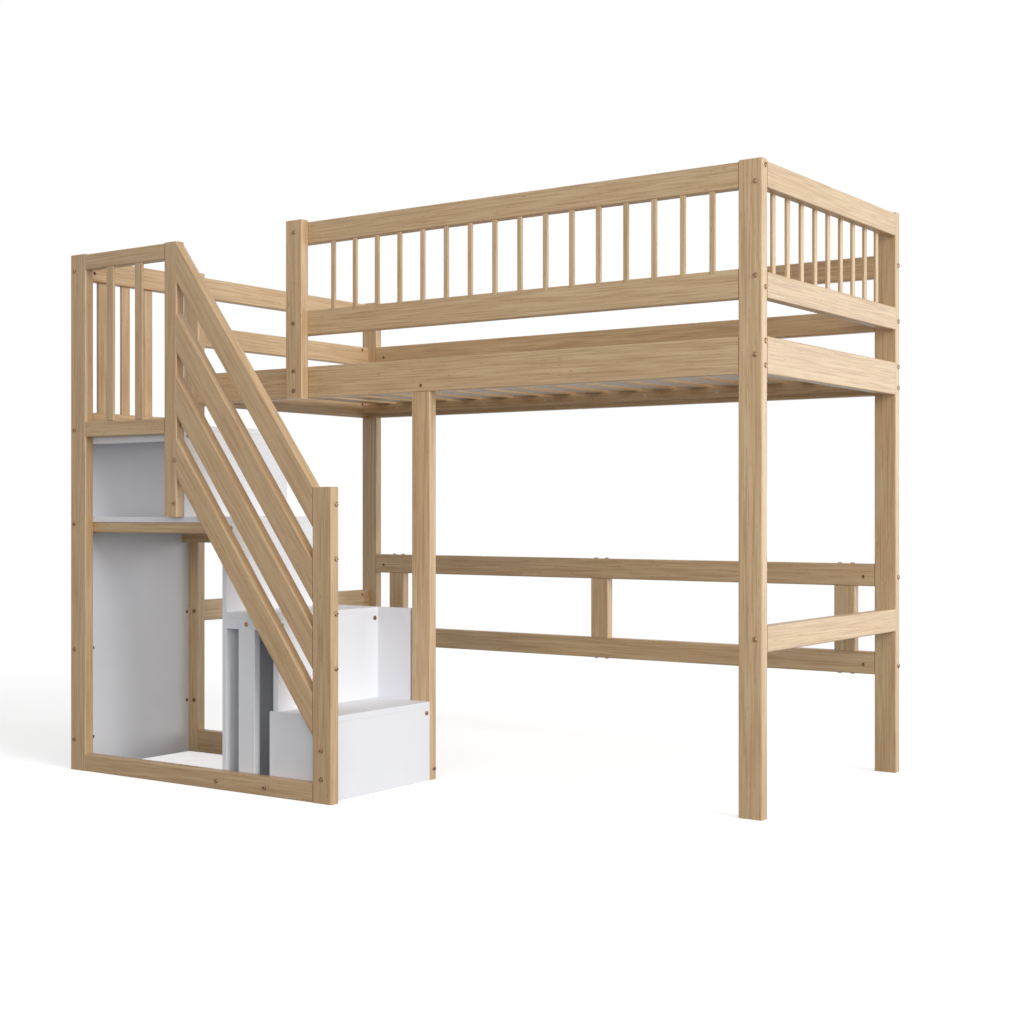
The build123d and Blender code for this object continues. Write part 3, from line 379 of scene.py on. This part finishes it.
# %% [markdown]
# A joiner cuts each timber with its grain along its length: posts and spindles upright, long rails
# along the bed, end rails and slats across it, and the stair's sloping rails on the slope. That
# slope isn't the slope of the node's box, because the ends of a rail are cut off plumb: the box is
# taller by the plumb height of the rail. So the slope is found in rounds, each of which takes the
# rail's own height off with the slope of the round before. The rail's width is read from a post.

# %% Ways that the grain can run
quarter = math.radians(90)
along_x = (0.0, 0.0, 0.0)
along_y = (0.0, 0.0, -quarter)
upright = (0.0, quarter, 0.0)

rail_low, rail_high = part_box("stair_rail_1")
post_low, post_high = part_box("stair_post_right")
rail_run = rail_high.x - rail_low.x
rail_plumb = (rail_high.z - rail_low.z) / rail_run
rail_width = post_high.x - post_low.x
first_guess = 1.3
rounds = 20
slope = first_guess
for _ in range(rounds):
    slope = rail_plumb - rail_width * math.hypot(1, slope) / rail_run
slope_angle = math.atan(slope)
down_the_slope = (0.0, -slope_angle, 0.0)
print("stair slope in degrees:", round(math.degrees(slope_angle), 1))

# %% [markdown]
# Each node now gets its finish from two tables. The first holds the nodes that are one board, and
# the second holds those with several boards and the axis along which they repeat. The stair's
# timber is tinted a shade deeper than the bed's. This tint is painted shade: it stands in for the
# light that falls off towards the stair on the left, so the stair has its own tone. Every node
# starts at another place in the grain, by its seed.

# %% Timber finish for every wooden node
bed_tone = (1.0, 1.0, 1.0)
# Painted shade: the stair's timber is darkened to stand in for the light that falls off towards the
# left.
stair_shaded_tone = (0.90, 0.86, 0.82)
first_seed = 1.0
seed_step = 0.37

single_boards = (
    (upright, bed_tone, ("leg_front_right", "leg_back_right", "leg_back_left", "leg_front_left",
                         "leg_front_middle", "guard_post")),
    (upright, stair_shaded_tone, ("stair_post_left", "stair_post_middle", "stair_post_right")),
    (along_x, bed_tone, ("beam_front", "beam_back", "guard_rail_front_top",
                         "guard_rail_front_middle")),
    (along_x, stair_shaded_tone, ("landing_rail_front_top", "landing_rail_front_low",
                           "stair_bottom_rail_front", "stair_bottom_rail_back",
                           "shelf_rail_front", "shelf_rail_back")),
    (along_y, bed_tone, ("beam_left", "beam_right", "guard_rail_right_top",
                         "guard_rail_right_middle", "brace_left", "brace_right")),
    (along_y, stair_shaded_tone, ("landing_rail_side_top", "landing_rail_side_low")),
    (down_the_slope, stair_shaded_tone, ("stair_rail_1", "stair_rail_2", "stair_rail_3",
                                  "stair_rail_4")),
)
repeated_boards = (
    ("slats", along_y, 0, bed_tone), ("ledgers", along_x, 1, bed_tone),
    ("guard_spindles_front", upright, 0, bed_tone),
    ("guard_spindles_right", upright, 1, bed_tone),
    ("back_rails", along_x, 2, bed_tone), ("left_rails", along_y, 2, bed_tone),
    ("back_braces", along_x, 2, bed_tone), ("back_brace_blocks", upright, 0, bed_tone),
    ("landing_balusters_front", upright, 0, stair_shaded_tone),
    ("landing_balusters_side", upright, 1, stair_shaded_tone),
)


def finish_node(name, material):
    """Gives a node of the frame its better material."""
    nodes[name].data.materials.clear()
    nodes[name].data.materials.append(material)


seed = first_seed
for turn, tone, names in single_boards:
    for name in names:
        finish_node(name, timber("timber_" + name, turn, one_board(), seed, tone))
        seed += seed_step
for name, turn, axis, tone in repeated_boards:
    finish_node(name, timber("timber_" + name, turn, boards_along(name, axis), seed, tone))
    seed += seed_step
print("timber finishes made:", round((seed - first_seed) / seed_step))

# %% [markdown]
# The stair's boards are pressed wood with a white melamine face. Such a face is smooth but never a
# mirror: it has a fine orange-peel texture and a slight cool tint, and faint rub marks break up its
# gloss where feet and hands go. A plain white would look like paper, and strong marks would look
# like dirt, so gentle noise goes into roughness and bump, and the colour stays nearly even.

# %% White boards
board_white = linear(238, 239, 243)
board_scuffed = linear(233, 234, 238)
scuff_scale, scuff_detail = 7.0, 5.0
scuff_low, scuff_high = 0.5, 0.85
peel_scale, peel_detail = 900.0, 2.0
peel_bump, peel_depth = 0.05, 0.0004
board_roughness, scuff_roughness = 0.5, 0.2
board_gloss = 0.2
board_seed, board_seed_step = 1.0, 0.6
board_starts = (1.0, 0.7, 1.3)


def white_board(name, seed):
    """The white face of a pressed board, with faint scuffs and a fine texture."""
    material, tree, shader = new_material(name)
    object_place = add_node(tree, "ShaderNodeTexCoord").outputs["Object"]
    mapping = add_node(tree, "ShaderNodeMapping", [("Vector", object_place)])
    mapping.inputs["Location"].default_value = [seed * share for share in board_starts]
    scuffs = add_node(tree, "ShaderNodeTexNoise", [("Vector", mapping.outputs[0])])
    scuffs.inputs["Scale"].default_value = scuff_scale
    scuffs.inputs["Detail"].default_value = scuff_detail
    peel = add_node(tree, "ShaderNodeTexNoise", [("Vector", mapping.outputs[0])])
    peel.inputs["Scale"].default_value = peel_scale
    peel.inputs["Detail"].default_value = peel_detail
    scuff_share = in_range(tree, scuffs.outputs[0], scuff_low, scuff_high)
    colour = mix_colours(tree, scuff_share, board_white, board_scuffed)
    tree.links.new(colour, shader.inputs["Base Color"])
    roughness = maths(tree, "MULTIPLY_ADD", scuffs.outputs[0], scuff_roughness, board_roughness)
    tree.links.new(roughness, shader.inputs["Roughness"])
    shader.inputs["Specular IOR Level"].default_value = board_gloss
    bump = add_node(tree, "ShaderNodeBump", [("Height", peel.outputs[0])])
    bump.inputs["Strength"].default_value = peel_bump
    bump.inputs["Distance"].default_value = peel_depth
    tree.links.new(bump.outputs[0], shader.inputs["Normal"])
    return material


white_nodes = (
    "side_panel_left", "landing_board", "landing_cleats", "shelf_board", "riser_top",
    "divider_panel", "riser_low", "tread_2", "tread_cleat_front", "back_cleats", "storage_post",
    "back_panel", "step_1_top", "step_1_front", "step_1_sides",
)
for count, name in enumerate(white_nodes):
    finish_node(name, white_board("board_" + name, board_seed + board_seed_step * count))
print("white boards finished:", len(white_nodes))

# %% [markdown]
# The bolts and barrel nuts are steel with an antique bronze plating. Plating wears to bright metal
# on high spots and stays dark in the hollows, so the colour is mixed by a fine noise, and the same
# noise roughens and presses the metal. The screws are plain zinc-plated steel, from the same
# function with other values. The dowels are timber.

# %% Metal finishes
bronze_bright = linear(190, 156, 128)
bronze_dark = linear(94, 68, 50)
bronze_roughness, bronze_grain = 0.1, 420.0
zinc_bright = linear(214, 214, 216)
zinc_dark = linear(168, 170, 174)
zinc_roughness, zinc_grain = 0.3, 500.0
plating_low, plating_high = 0.35, 0.65
plating_detail = 4.0
plating_wear = 0.2
plating_bump, plating_depth = 0.1, 0.0002


def plated(name, bright, dark, roughness_low, scale):
    """A plated metal whose tone and gloss vary over a millimetre or two."""
    material, tree, shader = new_material(name)
    object_place = add_node(tree, "ShaderNodeTexCoord").outputs["Object"]
    noise = add_node(tree, "ShaderNodeTexNoise", [("Vector", object_place)])
    noise.inputs["Scale"].default_value = scale
    noise.inputs["Detail"].default_value = plating_detail
    worn = in_range(tree, noise.outputs[0], plating_low, plating_high)
    colour = mix_colours(tree, worn, dark, bright)
    tree.links.new(colour, shader.inputs["Base Color"])
    shader.inputs["Metallic"].default_value = 1.0
    roughness = maths(tree, "MULTIPLY_ADD", noise.outputs[0], plating_wear, roughness_low)
    tree.links.new(roughness, shader.inputs["Roughness"])
    bump = add_node(tree, "ShaderNodeBump", [("Height", noise.outputs[0])])
    bump.inputs["Strength"].default_value = plating_bump
    bump.inputs["Distance"].default_value = plating_depth
    tree.links.new(bump.outputs[0], shader.inputs["Normal"])
    return material


bronze = plated("antique_bronze", bronze_bright, bronze_dark, bronze_roughness, bronze_grain)
zinc = plated("zinc_plate", zinc_bright, zinc_dark, zinc_roughness, zinc_grain)
finish_node("barrel_nuts", bronze)
finish_node("screws", zinc)
finish_node("dowels", timber("timber_dowels", along_x, one_board(), seed))
print("metal finishes made:", bronze.name, zinc.name)

# %% [markdown]
# A connector bolt's head is a shallow dome with a rolled rim and a hexagon socket. It is about as
# wide as a fingertip and it is what a person looks at first, so it is modelled once and then
# copied to every bolt. The places are measured on the frame's own bolts: each loose shell of that
# node is one bolt, and its wider end is its head. A shell that has no wide end is a stud.

# %% Measure where the bolts are
narrowest_head = 0.005


def long_axis(points):
    """The middle of a shell, the number of its longest axis, and half its length."""
    low = Vector(min(p[i] for p in points) for i in range(3))
    high = Vector(max(p[i] for p in points) for i in range(3))
    size = high - low
    axis = max(range(3), key=lambda i: size[i])
    return (low + high) / 2, axis, size[axis] / 2


def head_side(points, centre, axis):
    """1 or -1 for the end that has the head, and 0 for a stud."""
    reach = {-1: 0.0, 1: 0.0}
    for point in points:
        side = 1 if point[axis] > centre[axis] else -1
        away = point - centre
        away[axis] = 0.0
        reach[side] = max(reach[side], away.length)
    if max(reach.values()) < narrowest_head:
        return 0
    return 1 if reach[1] > reach[-1] else -1


bolts = []
for shell in loose_shells(nodes["bolts"].data):
    centre, axis, half = long_axis(shell)
    bolts.append((centre, axis, half, head_side(shell, centre, axis)))
studs = sum(1 for bolt in bolts if bolt[3] == 0)
print("bolts measured:", len(bolts), "of which studs:", studs)

# %% [markdown]
# An operator acts on everything that is selected, and a new piece comes in selected all over. So
# each modelling step first clears the selection, and then picks one face by the way it looks.

# %% Helpers for modelling
facing = 0.9


def clear_selection():
    """Leaves nothing selected, because an operator acts on everything that is."""
    if bpy.context.object and bpy.context.object.mode == "EDIT":
        bpy.ops.object.mode_set(mode="OBJECT")
    bpy.ops.object.select_all(action="DESELECT")


def select_flat(piece, upward):
    """In edit mode, selects only the outermost face that looks up or down."""
    work = bmesh.from_edit_mesh(piece.data)
    sign = 1 if upward else -1
    faces = [face for face in work.faces if sign * face.normal.z > facing]
    outermost = max(faces, key=lambda face: sign * face.calc_center_median().z)
    for face in work.faces:
        face.select = face is outermost
    bmesh.update_edit_mesh(piece.data)


def apply_modifier(piece, name, kind, **settings):
    """Adds a modifier to a piece and makes its result permanent."""
    modifier = piece.modifiers.new(name, kind)
    for key, value in settings.items():
        setattr(modifier, key, value)
    clear_selection()
    piece.select_set(True)
    bpy.context.view_layer.objects.active = piece
    bpy.ops.object.modifier_apply(modifier=name)


clear_selection()
print("pieces selected:", len(bpy.context.selected_objects))

# %% [markdown]
# The head starts as a thin disc. Its top face is extruded and drawn in three times, which gives
# the rolled rim and the dome. The underside is inset and extruded by one metre into the shank, so
# that each copy can be cut to its own length. A six-sided prism, taken away from the dome, leaves
# the socket. A small bevel then rounds every sharp edge, because an edge catches a highlight only
# when it isn't perfectly sharp.

# %% Model one bolt
head_radius = 0.0065
head_height = 0.003
shank_radius = 0.003
socket_radius = 0.0027
socket_depth = 0.002
edge_round = 0.00018
round_sides, socket_sides, bevel_steps = 24, 6, 2
pattern_length = 1.0
disc_share = 0.45
disc_height = head_height * disc_share
dome_steps = ((0.95, 0.28), (0.86, 0.17), (0.72, 0.10))
sharp_edge = math.radians(50)

clear_selection()
bpy.ops.mesh.primitive_cylinder_add(vertices=round_sides, radius=head_radius, depth=disc_height,
                                    location=(0, 0, disc_height / 2))
bolt_pattern = bpy.context.object
bpy.ops.object.transform_apply(location=True)
bpy.ops.object.mode_set(mode="EDIT")
bpy.ops.mesh.select_mode(type="FACE")
select_flat(bolt_pattern, True)
for width_share, height_share in dome_steps:
    rise = (0, 0, head_height * height_share)
    bpy.ops.mesh.extrude_region_move(TRANSFORM_OT_translate={"value": rise})
    bpy.ops.transform.resize(value=(width_share, width_share, 1.0))
select_flat(bolt_pattern, False)
bpy.ops.mesh.inset(thickness=head_radius - shank_radius, depth=0.0)
bpy.ops.mesh.extrude_region_move(TRANSFORM_OT_translate={"value": (0, 0, -pattern_length)})
bpy.ops.object.mode_set(mode="OBJECT")

clear_selection()
bpy.ops.mesh.primitive_cylinder_add(vertices=socket_sides, radius=socket_radius,
                                    depth=2 * socket_depth, location=(0, 0, head_height))
prism = bpy.context.object
apply_modifier(bolt_pattern, "socket", "BOOLEAN", operation="DIFFERENCE", object=prism)
bpy.data.objects.remove(prism)
apply_modifier(bolt_pattern, "edges", "BEVEL", width=edge_round, segments=bevel_steps,
               limit_method="ANGLE", angle_limit=sharp_edge)
print("faces of one bolt:", len(bolt_pattern.data.polygons))

# %% [markdown]
# A stud has no head. It is a rod with a chamfer at each end, which lets it start in its bore. The
# rod is a cylinder, and the bevel that chamfers it is twice as wide as the one on the head.

# %% Model one stud
clear_selection()
bpy.ops.mesh.primitive_cylinder_add(vertices=round_sides, radius=shank_radius,
                                    depth=pattern_length, location=(0, 0, -pattern_length / 2))
stud_pattern = bpy.context.object
bpy.ops.object.transform_apply(location=True)
apply_modifier(stud_pattern, "ends", "BEVEL", width=2 * edge_round, segments=bevel_steps,
               limit_method="ANGLE", angle_limit=sharp_edge)
print("faces of one stud:", len(stud_pattern.data.polygons))

# %% [markdown]
# Every copy is cut to its own length, turned to the way its bolt runs and moved to its seat. All
# of this is done to its mesh, so that the object itself stays at the origin. To shorten a copy,
# only the far end of its shank is moved, and the head and the chamfer keep their shape.

# %% Put a bolt in every place
copies = []
for centre, axis, half, side in bolts:
    outward = Vector((0, 0, 0))
    outward[axis] = side if side else 1
    head = head_height if side else 0.0
    pattern = bolt_pattern if side else stud_pattern
    piece = pattern.copy()
    piece.data = pattern.data.copy()
    bpy.context.scene.collection.objects.link(piece)
    for vertex in piece.data.vertices:
        if vertex.co.z < -pattern_length / 2:
            vertex.co.z += pattern_length - (2 * half - head)
    turn = outward.to_track_quat("Z", "Y").to_matrix().to_4x4()
    seat = Matrix.Translation(centre + outward * (half - head))
    piece.data.transform(seat @ turn)
    copies.append(piece)
for pattern in (bolt_pattern, stud_pattern):
    bpy.data.objects.remove(pattern)
print("bolts and studs placed:", len(copies))

# %% [markdown]
# The copies are joined into one piece, because the frame holds all its bolts in one node, and the
# joined piece stands in for that node. Merging the doubles and turning the normals outwards leaves
# a clean mesh, and smoothing by angle keeps the rim crisp while the dome looks round.

# %% Join the bolts
double_distance = 0.000005
smooth_angle = math.radians(35)

clear_selection()
for piece in copies:
    piece.select_set(True)
bpy.context.view_layer.objects.active = copies[0]
bpy.ops.object.join()
socket_bolts = bpy.context.object
socket_bolts.name = "socket_bolts"
bpy.ops.object.mode_set(mode="EDIT")
bpy.ops.mesh.select_all(action="SELECT")
bpy.ops.mesh.remove_doubles(threshold=double_distance)
bpy.ops.mesh.normals_make_consistent(inside=False)
bpy.ops.object.mode_set(mode="OBJECT")
bpy.ops.object.shade_smooth_by_angle(angle=smooth_angle)
socket_bolts.data.materials.append(bronze)
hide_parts("bolts")
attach(socket_bolts, "root")
print("faces of all bolts:", len(socket_bolts.data.polygons))

# %% [markdown]
# The background is white because its own colour and a little light of its own make it so, and
# never because the bed is lit harder. A ray tells the material where it comes from: rays that are
# seen, in the camera, in a reflection or through glass, find a white floor, and rays that only
# carry light find a grey one, which keeps the undersides of the bed dark. A reflected ray counts
# half. Further off the floor fades into the white world, so that no horizon shows, and the bed's
# shadow stays on it.

# %% Floor
floor_size = 60.0
floor_drop = 0.0005
fade_start, fade_end = 1.6, 4.5
floor_seen_colour = (0.9, 0.9, 0.9)
floor_lit_colour = (0.28, 0.28, 0.28)
floor_glow = 0.52
reflected_share = 0.5
white = (1.0, 1.0, 1.0, 1.0)

clear_selection()
bpy.ops.mesh.primitive_plane_add(size=floor_size, location=(0, 0, -floor_drop))
floor = bpy.context.object
floor.name = "studio_floor"
floor_material, floor_tree, floor_shader = new_material("studio_white")


def seen_ray(tree, glossy_share=1.0):
    """1 for a camera ray or one seen through glass, and glossy_share for a reflected one."""
    paths = add_node(tree, "ShaderNodeLightPath")
    glossy = maths(tree, "MULTIPLY", paths.outputs["Is Glossy Ray"], glossy_share)
    seen = maths(tree, "MAXIMUM", paths.outputs["Is Camera Ray"], glossy)
    return maths(tree, "MAXIMUM", seen, paths.outputs["Is Transmission Ray"])


floor_seen = seen_ray(floor_tree, reflected_share)
floor_colour = mix_colours(floor_tree, floor_seen, floor_lit_colour, floor_seen_colour)
floor_tree.links.new(floor_colour, floor_shader.inputs["Base Color"])
floor_shader.inputs["Roughness"].default_value = 1.0
floor_shader.inputs["Specular IOR Level"].default_value = 0.0
floor_shader.inputs["Emission Color"].default_value = white
glow = maths(floor_tree, "MULTIPLY", floor_seen, floor_glow)
floor_tree.links.new(glow, floor_shader.inputs["Emission Strength"])

floor_place = add_node(floor_tree, "ShaderNodeTexCoord").outputs["Object"]
distance = add_node(floor_tree, "ShaderNodeVectorMath", [("Vector", floor_place)],
                    operation="LENGTH")
fade = in_range(floor_tree, distance.outputs["Value"], fade_start, fade_end,
                shape="SMOOTHSTEP")
horizon = maths(floor_tree, "MULTIPLY", floor_seen, fade)
white_light = add_node(floor_tree, "ShaderNodeEmission")
blend = add_node(floor_tree, "ShaderNodeMixShader",
                 [(0, horizon), (1, floor_shader.outputs[0]), (2, white_light.outputs[0])])
floor_tree.links.new(blend.outputs[0], floor_tree.nodes["Material Output"].inputs["Surface"])
floor.data.materials.append(floor_material)
print("floor fades to white from", fade_start, "to", fade_end, "m out")

# %% [markdown]
# The light is a low, wide sun from the right, which makes the right-hand faces bright and leaves
# the front faces in half shade. A corner lamp and a large fill lamp in front lift those. A softbox
# stands low behind the bed on the right, where the lacquer mirrors it to the camera, and so pales
# the right-hand faces. The world is white where it is seen and dimmer as a light.

# %% World and lamps
ambient = 0.36
world = bpy.data.worlds.new("studio_world")
bpy.context.scene.world = world
world.use_nodes = True
world_tree = world.node_tree
background = world_tree.nodes["Background"]
strength = maths(world_tree, "MULTIPLY_ADD", seen_ray(world_tree), 1.0 - ambient, ambient)
background.inputs["Color"].default_value = white
world_tree.links.new(strength, background.inputs["Strength"])


def lamp(name, kind, place, aim, strength, **settings):
    """A lamp at a place that looks at a point."""
    data = bpy.data.lights.new(name, kind)
    data.energy = strength
    for key, value in settings.items():
        setattr(data, key, value)
    piece = bpy.data.objects.new(name, data)
    bpy.context.scene.collection.objects.link(piece)
    piece.location = place
    direction = Vector(aim) - Vector(place)
    piece.rotation_euler = direction.to_track_quat("-Z", "Y").to_euler()


middle_of_bed = (0.0, 0.0, 0.8)
right_corner = (1.0, -0.2, 0.9)
stair_side = (0.3, -0.4, 0.9)
sun_width = math.radians(25)
lamp("key_sun", "SUN", place=(5.3, -0.9, 3.0), aim=middle_of_bed, strength=1.5,
     angle=sun_width)
lamp("corner_lamp", "AREA", place=(3.2, -3.4, 1.8), aim=right_corner, strength=34.0,
     shape="SQUARE", size=2.0)
lamp("front_fill", "AREA", place=(2.4, -7.5, 1.4), aim=middle_of_bed, strength=104.0,
     shape="SQUARE", size=4.0)
lamp("back_softbox", "AREA", place=(4.9, 3.6, 1.2), aim=stair_side, strength=104.0,
     shape="RECTANGLE", size=4.5, size_y=2.4)
bpy.context.scene.view_settings.view_transform = "Standard"
print("lamps made:", len(bpy.data.lights))
